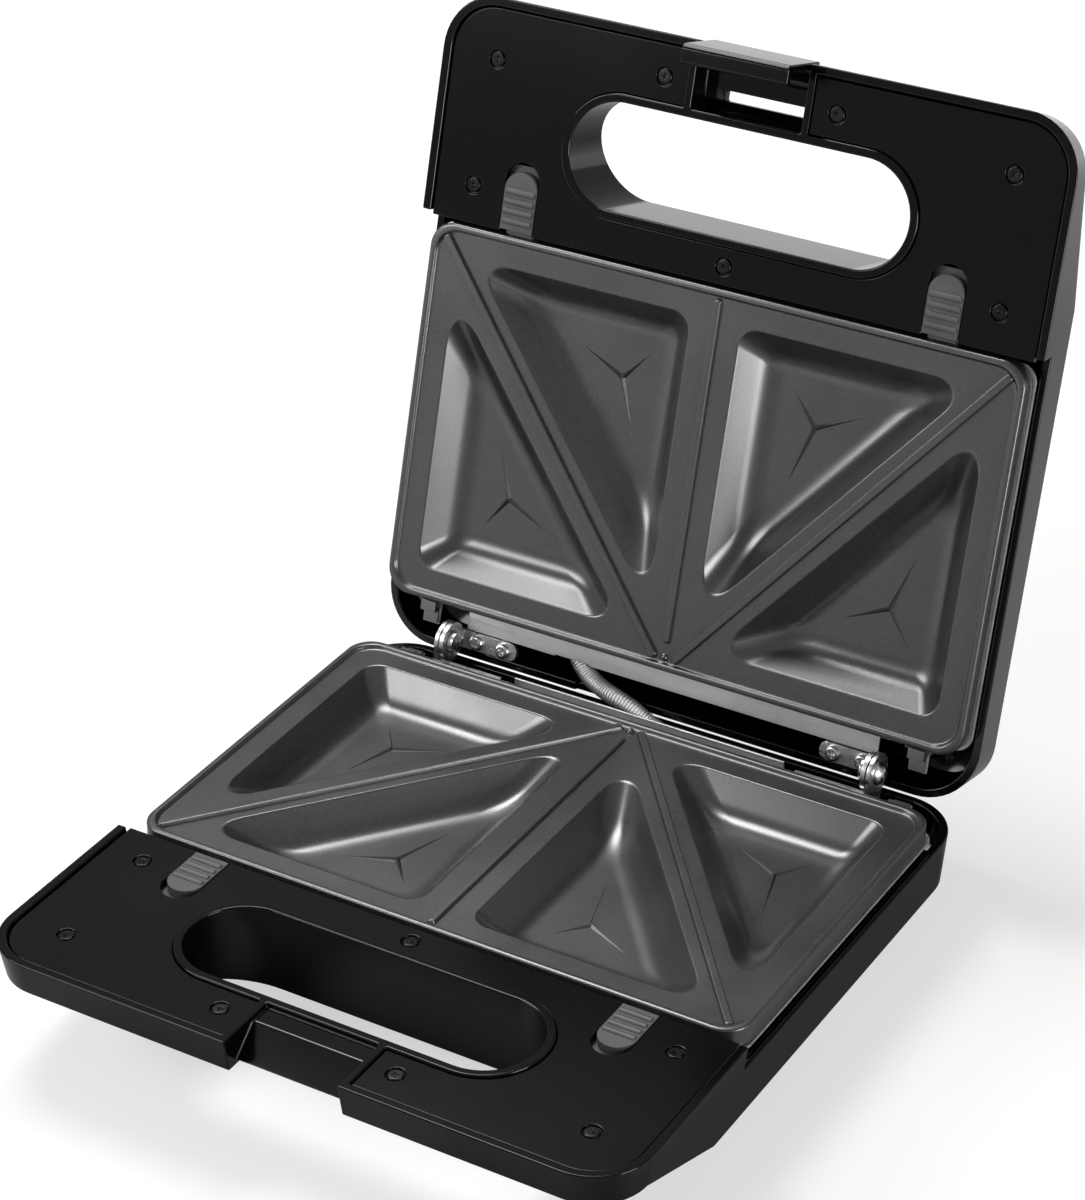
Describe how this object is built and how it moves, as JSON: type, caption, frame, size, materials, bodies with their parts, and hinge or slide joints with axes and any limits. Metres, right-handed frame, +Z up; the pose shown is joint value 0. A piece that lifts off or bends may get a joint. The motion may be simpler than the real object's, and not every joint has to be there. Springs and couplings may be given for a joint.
{
  "type": "sandwich toaster",
  "caption": "Clamshell sandwich toaster with hinged lid, front latch, finger-hole handles and removable plates pressed into triangular pockets.",
  "frame": {"origin": "On the table, below the middle of the open toaster's bounding box", "axes": "+X to the right seen from the front, +Y from the handle to the hinge, +Z up; the lid is open at rest"},
  "size_m": [0.235, 0.306, 0.2629],
  "materials": {
    "housing_black": "glossy moulded phenolic or ABS housing",
    "panel_black": "glossy moulded cover",
    "screw_black": "blackened steel screw",
    "button_grey": "matt ribbed moulding",
    "non_stick": "dark satin non-stick coating on cast aluminium",
    "liner_steel": "plain pressed sheet",
    "bracket_steel": "pressed steel",
    "plated_screw": "zinc plated",
    "rivet_steel": "polished rivet",
    "spring_steel": "drawn wire",
    "element_sheath": "heat-darkened tube",
    "wire_sleeve": "silicone and glass sleeving",
    "ceramic": "ceramic body",
    "terminal_nylon": "moulded nylon",
    "gland_black": "moulded gland",
    "foot_rubber": "moulded rubber",
    "red_lens": "tinted lens",
    "green_lens": "tinted lens",
    "lamp_glass": "neon lamp"
  },
  "bodies": {
    "base": {"base_shell": "housing_black", "base_handle_cover": "panel_black", "base_cover_screws": "screw_black", "base_liner": "liner_steel", "base_liner_screws": "plated_screw", "base_heating_element": "element_sheath", "base_element_clamps": "liner_steel", "thermostat": "ceramic", "thermal_fuse": "ceramic", "terminal_block": "terminal_nylon", "base_wiring": "wire_sleeve", "cord_gland": "gland_black", "rubber_feet": "foot_rubber", "base_hinge_bracket_left": "bracket_steel", "base_hinge_bracket_right": "bracket_steel", "base_bracket_screws": "plated_screw", "base_plate_clips": "bracket_steel", "hinge_rivet_left": "rivet_steel", "hinge_rivet_right": "rivet_steel", "conduit_sheath": "spring_steel", "conduit_wires": "wire_sleeve", "base_release_spring_left": "spring_steel", "base_release_spring_right": "spring_steel"},
    "lid": {"lid_shell": "housing_black", "lid_handle_cover": "panel_black", "lid_cover_screws": "screw_black", "lid_liner": "liner_steel", "lid_liner_screws": "plated_screw", "lid_heating_element": "element_sheath", "lid_element_clamps": "liner_steel", "lid_wiring": "wire_sleeve", "power_lamp_lens": "red_lens", "ready_lamp_lens": "green_lens", "indicator_lamps": "lamp_glass", "lid_hinge_bracket_left": "bracket_steel", "lid_hinge_bracket_right": "bracket_steel", "lid_bracket_screws": "plated_screw", "lid_plate_clips": "bracket_steel", "lid_release_spring_left": "spring_steel", "lid_release_spring_right": "spring_steel", "latch_pin": "plated_screw"},
    "latch": {"latch": "panel_black"},
    "base_plate": {"base_plate": "non_stick"},
    "lid_plate": {"lid_plate": "non_stick"},
    "base_release_left": {"base_release_left": "button_grey"},
    "base_release_right": {"base_release_right": "button_grey"},
    "lid_release_left": {"lid_release_left": "button_grey"},
    "lid_release_right": {"lid_release_right": "button_grey"}
  },
  "joints": [
    {"name": "lid_hinge", "type": "hinge", "parent": "base", "child": "lid", "pos_m": [0, 0.07246, 0.044], "axis": [1, 0, 0], "range_deg": [0, 107.3], "deforming": ["conduit_sheath", "conduit_wires"]},
    {"name": "latch_pivot", "type": "hinge", "parent": "lid", "child": "latch", "pos_m": [0, 0.14316, 0.25083], "axis": [1, 0, 0], "range_deg": [-25, 0]},
    {"name": "base_plate_tilt", "type": "hinge", "parent": "base", "child": "base_plate", "pos_m": [0, 0.06205, 0.0385], "axis": [1, 0, 0], "range_deg": [-20, 0]},
    {"name": "lid_plate_tilt", "type": "hinge", "parent": "lid", "child": "lid_plate", "pos_m": [0, 0.0808, 0.05229], "axis": [-1, 0, 0], "range_deg": [-20, 0]},
    {"name": "base_release_left_slide", "type": "slide", "parent": "base", "child": "base_release_left", "axis": [0, -1, 0], "range_m": [0, 0.003], "stiffness_N_per_m": 400, "springref_m": -0.002, "deforming": ["base_release_spring_left"]},
    {"name": "base_release_right_slide", "type": "slide", "parent": "base", "child": "base_release_right", "axis": [0, -1, 0], "range_m": [0, 0.003], "stiffness_N_per_m": 400, "springref_m": -0.002, "deforming": ["base_release_spring_right"]},
    {"name": "lid_release_left_slide", "type": "slide", "parent": "lid", "child": "lid_release_left", "axis": [0, 0.2974, 0.9548], "range_m": [0, 0.003], "stiffness_N_per_m": 400, "springref_m": -0.002, "deforming": ["lid_release_spring_left"]},
    {"name": "lid_release_right_slide", "type": "slide", "parent": "lid", "child": "lid_release_right", "axis": [0, 0.2974, 0.9548], "range_m": [0, 0.003], "stiffness_N_per_m": 400, "springref_m": -0.002, "deforming": ["lid_release_spring_right"]}
  ]
}
